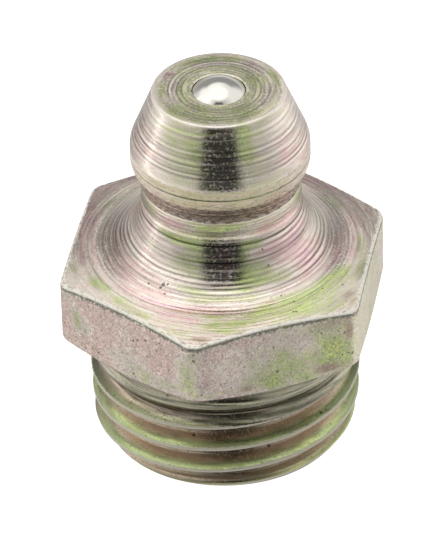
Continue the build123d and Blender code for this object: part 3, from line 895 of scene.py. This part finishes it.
# thread: brown in the roots, light rubbed crests
root = g.math("MULTIPLY", g.step(g.math("ADD", depth, centred(blotch, 0.3)), 0.18, 0.62), m_shank)
colour = g.mix(g.math("MULTIPLY", root, 0.55), colour, rgb(160, 132, 112))
colour = shade(colour, g.math("MINIMUM", light, 1.42))
crest = g.step(g.math("ADD", g.attr("crest"), centred(grain, 1.1)), 0.42, 0.80)
colour = g.mix(g.math("MULTIPLY", crest, 0.85), colour, rgb(226, 222, 206))
# rubbed edges: a light line, and a dark grey line below it on the hexagon
mottle = g.noise(mm, 7.5, 3.0, 0.7)
up_line = g.step(g.math("ADD", g.attr("edge_hi"), centred(mottle, 3.0)), 0.62, 1.0)
low_line = g.step(g.math("ADD", g.attr("edge_lo"), centred(mottle, 2.4)), 0.55, 0.95)
colour = g.mix(g.math("MULTIPLY", up_line, 0.92), colour, rgb(252, 250, 242))
colour = g.mix(g.math("MULTIPLY", low_line, 0.85), colour, rgb(122, 122, 113))
rub = g.step(g.math("ADD", rim, centred(mottle, 2.6)), 0.56, 0.92)
colour = g.mix(g.math("MULTIPLY", rub, 0.85), colour, rgb(246, 243, 236))
g.put(bsdf.inputs["Base Color"], colour)
# roughness
ro = g.math("ADD", g.attr("rough"), g.math("MULTIPLY", g.step(g.noise(mm, 10.0, 2.0, 0.6), 0.52, 0.66), 0.26))
ro = g.math("ADD", ro, g.math("MULTIPLY", g.step(lines, 0.50, 0.66), g.math("MULTIPLY", m_turned, 0.22)))
ro = g.math("ADD", ro, centred(blotch, 0.10))
ro = g.mix(crest, ro, 0.72, "FLOAT")
ro = g.mix(up_line, ro, 0.65, "FLOAT")
ro = g.mix(rub, ro, 0.5, "FLOAT")
g.put(bsdf.inputs["Roughness"], ro)
bump = g.node("ShaderNodeBump")
bump.inputs["Strength"].default_value = 1.0
bump.inputs["Distance"].default_value = 0.000005
hh = g.math("MULTIPLY", g.math("ADD", fine, g.math("MULTIPLY", lines, 1.0)), m_turned)
hh = g.math("ADD", hh, g.math("MULTIPLY", g.math("ADD", worm, g.math("MULTIPLY", specks, 0.5)), g.math("MULTIPLY", m_flat, 2.0)))
hh = g.math("ADD", hh, g.math("MULTIPLY", grain, 0.5))
hh = g.math("ADD", hh, g.math("MULTIPLY", hexlines, g.math("MULTIPLY", g.attr("m_hextop"), 3.0)))
hh = g.math("ADD", hh, g.math("MULTIPLY", fleck, g.math("MULTIPLY", g.attr("m_fleck"), -2.5)))
hh = g.math("MULTIPLY_ADD", hole, -6.0, hh)
g.put(bump.inputs["Height"], hh)
g.put(bsdf.inputs["Normal"], bump.outputs[0])
tan = g.node("ShaderNodeTangent", direction_type="RADIAL", axis="Z")
g.put(bsdf.inputs["Tangent"], tan.outputs[0])
me.materials.append(mat)


steel = bpy.data.materials.new("ball_steel")
steel.use_nodes = True
g = Graph(steel.node_tree)
out = g.node("ShaderNodeOutputMaterial")
bsdf = g.node("ShaderNodeBsdfPrincipled")
g.t.links.new(bsdf.outputs[0], out.inputs[0])
bsdf.inputs["Metallic"].default_value = 1.0
pos = g.node("ShaderNodeTexCoord").outputs["Object"]
mm = g.scale3(pos, (1000, 1000, 1000))
g.put(bsdf.inputs["Base Color"], g.mix(g.noise(mm, 1.5, 3.0), rgb(228, 225, 216), rgb(243, 240, 232)))
g.put(bsdf.inputs["Roughness"], g.mix(g.noise(mm, 6.0, 3.0), 0.08, 0.16, "FLOAT"))

# ---------------------------------------------------------------------- ball
def ball_mesh(n=26):
    pts, quads = [], []
    lin = np.tan(np.linspace(-np.pi / 4, np.pi / 4, n + 1))
    for axis in range(3):
        for sign in (-1, 1):
            base = len(pts)
            for a in lin:
                for b in lin:
                    v = [0, 0, 0]
                    v[axis] = sign
                    v[(axis + 1) % 3] = a * sign
                    v[(axis + 2) % 3] = b
                    v = np.array(v, float)
                    pts.append(v / np.linalg.norm(v) * BALL_R + (0, 0, BALL_Z))
            for i in range(n):
                for j in range(n):
                    q = base + i * (n + 1) + j
                    quads.append([q, q + n + 1, q + n + 2, q + 1])
    pts = np.array(pts)
    uniq, first, inv = np.unique(np.round(pts, 5), axis=0, return_index=True, return_inverse=True)
    return pts[first], [[int(inv.reshape(-1)[v]) for v in q] for q in quads]


bp, bf = ball_mesh()
bm = make_mesh("check_ball_steel", bp, bf)
ball = bpy.data.objects.new("check_ball_steel", bm)
bpy.context.collection.objects.link(ball)
bm.materials.append(steel)
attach(ball, "ball")
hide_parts("check_ball")

# -------------------------------------------------------------------- spring
SP_LO, SP_HI, WIRE, COIL_R = 0.515, 12.93, 0.16, 1.19
def spring_mesh():
    turns_end, active = 1.25, 8.6
    n_per, sides = 40, 10
    # heights of the wire's centre: closed coils at both ends, open between
    total = turns_end * 2 + active
    lo, hi = SP_LO + WIRE * 0.75, SP_HI - WIRE * 0.75
    tt = np.linspace(0, total, int(total * n_per) + 1)
    closed = WIRE * 2 * 1.03
    rise = np.where((tt < turns_end) | (tt > total - turns_end), closed, 0)
    open_rise = (hi - lo - closed * 2 * turns_end) / active
    rise = np.where(rise == 0, open_rise, rise)
    ker = np.hanning(13); ker /= ker.sum()
    rise = np.convolve(np.pad(rise, 6, mode="edge"), ker, mode="valid")
    z = np.concatenate([[0], np.cumsum((rise[1:] + rise[:-1]) / 2 * np.diff(tt))])
    z = lo + z / z[-1] * (hi - lo)
    a = 2 * np.pi * tt + rad(40)
    C = np.stack([COIL_R * np.cos(a), COIL_R * np.sin(a), z], -1)
    T = np.gradient(C, axis=0); T /= np.linalg.norm(T, axis=1)[:, None]
    N = np.stack([np.cos(a), np.sin(a), 0 * a], -1)
    N = N - (N * T).sum(1)[:, None] * T; N /= np.linalg.norm(N, axis=1)[:, None]
    B = np.cross(T, N)
    pts = []
    for i in range(len(C)):
        for s in range(sides):
            u = 2 * np.pi * s / sides
            pts.append(C[i] + WIRE * (math.cos(u) * N[i] + math.sin(u) * B[i]))
    pts = np.array(pts)
    pts[:, 2] = np.clip(pts[:, 2], SP_LO, SP_HI)      # ground ends
    quads = []
    for i in range(len(C) - 1):
        for s in range(sides):
            p, q = i * sides + s, i * sides + (s + 1) % sides
            quads.append([p, p + sides, q + sides, q])
    quads.append(list(range(sides)))
    quads.append(list(range((len(C) - 1) * sides, len(C) * sides))[::-1])
    return pts, quads


wire_mat = bpy.data.materials.new("spring_wire")
wire_mat.use_nodes = True
g = Graph(wire_mat.node_tree)
out = g.node("ShaderNodeOutputMaterial")
bsdf = g.node("ShaderNodeBsdfPrincipled")
g.t.links.new(bsdf.outputs[0], out.inputs[0])
bsdf.inputs["Metallic"].default_value = 1.0
pos = g.node("ShaderNodeTexCoord").outputs["Object"]
mm = g.scale3(pos, (1000, 1000, 1000))
g.put(bsdf.inputs["Base Color"], g.mix(g.noise(mm, 2.5, 3.0), rgb(150, 148, 142), rgb(190, 188, 182)))
g.put(bsdf.inputs["Roughness"], g.mix(g.noise(mm, 9.0, 3.0), 0.25, 0.45, "FLOAT"))
sp, sf = spring_mesh()
sm = make_mesh("return_spring", sp, sf)
spring = bpy.data.objects.new("return_spring", sm)
bpy.context.collection.objects.link(spring)
sm.materials.append(wire_mat)
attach(spring, "housing")
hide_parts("spring")
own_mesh(spring)

# --------------------------------------------------------------------- floor
fl = bpy.data.meshes.new("floor")
h = 3.0
fl.from_pydata([(-h, -h, 0), (h, -h, 0), (h, h, 0), (-h, h, 0)], [], [[0, 1, 2, 3]])
floor = bpy.data.objects.new("floor", fl)
floor.location.z = -0.00002
bpy.context.collection.objects.link(floor)
floor.visible_glossy = False
floor.visible_shadow = False
paper = bpy.data.materials.new("paper")
paper.use_nodes = True
g = Graph(paper.node_tree)
out = g.node("ShaderNodeOutputMaterial")
bsdf = g.node("ShaderNodeBsdfPrincipled")
g.t.links.new(bsdf.outputs[0], out.inputs[0])
bsdf.inputs["Base Color"].default_value = (0.8, 0.8, 0.8, 1)
bsdf.inputs["Roughness"].default_value = 1.0
bsdf.inputs["Specular IOR Level"].default_value = 0.0
bsdf.inputs["Emission Color"].default_value = (1, 1, 1, 1)
bsdf.inputs["Emission Strength"].default_value = 0.9
fl.materials.append(paper)

# --------------------------------------------------------------------- light
world = bpy.data.worlds.new("studio")
bpy.context.scene.world = world
world.use_nodes = True
g = Graph(world.node_tree)
out = g.node("ShaderNodeOutputWorld")
bg = g.node("ShaderNodeBackground")
white = g.node("ShaderNodeBackground")
white.inputs[0].default_value = (1, 1, 1, 1)
mixs = g.node("ShaderNodeMixShader")
g.put(mixs.inputs[0], g.node("ShaderNodeLightPath").outputs["Is Camera Ray"])
g.t.links.new(bg.outputs[0], mixs.inputs[1])
g.t.links.new(white.outputs[0], mixs.inputs[2])
g.t.links.new(mixs.outputs[0], out.inputs[0])
d = g.node("ShaderNodeSeparateXYZ")
g.put(d.inputs[0], g.node("ShaderNodeTexCoord").outputs["Generated"])
az = g.math("MULTIPLY", g.math("ARCTAN2", d.outputs[0], g.math("MULTIPLY", d.outputs[1], -1.0)), 180 / math.pi)
az = g.math("SUBTRACT", az, CAM_AZ)
az = g.math("WRAP", az, 180.0, -180.0)       # 0 towards the view, + to its right
el = g.math("MULTIPLY", g.math("ARCSINE", d.outputs[2]), 180 / math.pi)
aaz = g.math("ABSOLUTE", az)


def put_patch(level, value, lo, hi, elo, ehi, soft=4.0, esoft=6.0):
    """Set a soft-edged window of the studio to a light level."""
    m = g.math("MULTIPLY", g.band(az, lo, hi, soft), g.band(el, elo, ehi, esoft))
    return g.mix(m, level, value, "FLOAT")


def tent(stops):
    """Brightness of the light tent round the item: (azimuth from the view, level)."""
    r = g.node("ShaderNodeValToRGB")
    g.put(r.inputs[0], g.math("MULTIPLY_ADD", az, 1 / 360, 0.5))
    e = r.color_ramp.elements
    top = 1.6
    e[0].position, e[0].color = 0.0, [stops[0][1] / top] * 3 + [1]
    e[1].position, e[1].color = 1.0, [stops[-1][1] / top] * 3 + [1]
    for a, v in stops[1:-1]:
        n = e.new((a + 180) / 360)
        n.color = [v / top] * 3 + [1]
    return g.math("MULTIPLY", r.outputs[0], top)


low = tent([(-180, .74), (-160, .46), (-136, .46), (-120, .78), (-108, .84), (-103, 1.42), (-97, 1.42),
            (-92, .94), (-74, .82), (-52, .68), (-31, .62), (25, .60), (45, .56), (68, .62),
            (88, .84), (112, 1.0), (132, .86), (150, .62), (180, .74)])
mid = tent([(-180, 1.15), (-120, 1.15), (-70, 1.32), (-50, 1.08), (-30, .74), (-10, .57), (30, .60),
            (70, .95), (110, .95), (150, .95), (180, 1.15)])
lvl = g.mix(g.step(el, 24, 40), low, mid, "FLOAT")
lvl = g.mix(g.step(el, 57, 69), lvl, 1.3, "FLOAT")     # large light overhead
lvl = put_patch(lvl, 0.33, 135, 200, 10, 46, 12, 6)    # darker wall behind
lvl = put_patch(lvl, 0.33, -200, -135, 10, 46, 12, 6)
lvl = put_patch(lvl, 0.85, 22, 62, -46, -31, 4, 3)      # light ground to the right
lvl = put_patch(lvl, 0.85, -48, 24, -50, -28, 5, 3)      # and in front
lvl = put_patch(lvl, 0.042, -26.5, 24.8, -30, 51, 2.0, 2)  # gap at the camera
lvl = put_patch(lvl, 0.12, -21, 19, 44, 57.5, 2.5, 2.5)
lvl = g.mix(g.step(el, -46, -60), lvl, 0.60, "FLOAT")  # table
g.put(bg.inputs["Color"], lvl)
bg.inputs["Strength"].default_value = 1.0

# -------------------------------------------------------------------- camera
D, ELEV, ROLL, SCALE = 200.0, 35.674, 1.444, 27.473
U0, V0, WPX, HPX = 222.521, 259.42, 437, 549
f_px = SCALE * D
a, e = rad(CAM_AZ), rad(ELEV)
back = Vector((math.sin(a) * math.cos(e), -math.cos(a) * math.cos(e), math.sin(e)))
target = Vector((0, 0, 7.0))
place = target + back * D
fwd = -back
right = fwd.cross(Vector((0, 0, 1))).normalized()
up = right.cross(fwd)
ro = rad(ROLL)
right2 = right * math.cos(ro) - up * math.sin(ro)
up2 = right * math.sin(ro) + up * math.cos(ro)
dx, dy = U0 - (WPX - 1) / 2, (HPX - 1) / 2 - V0
fwd2 = (fwd - right2 * (dx / f_px) - up2 * (dy / f_px)).normalized()
right2 = (right2 - fwd2 * right2.dot(fwd2)).normalized()
up2 = right2.cross(fwd2)
cam_data = bpy.data.cameras.new("camera")
cam = bpy.data.objects.new("camera", cam_data)
bpy.context.collection.objects.link(cam)
rot = Matrix((right2, up2, -fwd2)).transposed()
cam.matrix_world = Matrix.Translation(place * MM) @ rot.to_4x4()
cam_data.sensor_width = 36
cam_data.lens = f_px / HPX * 36
cam_data.clip_start, cam_data.clip_end = 0.01, 20
bpy.context.scene.camera = cam
bpy.context.scene.view_settings.view_transform = "Standard"

bpy.context.view_layer.update()
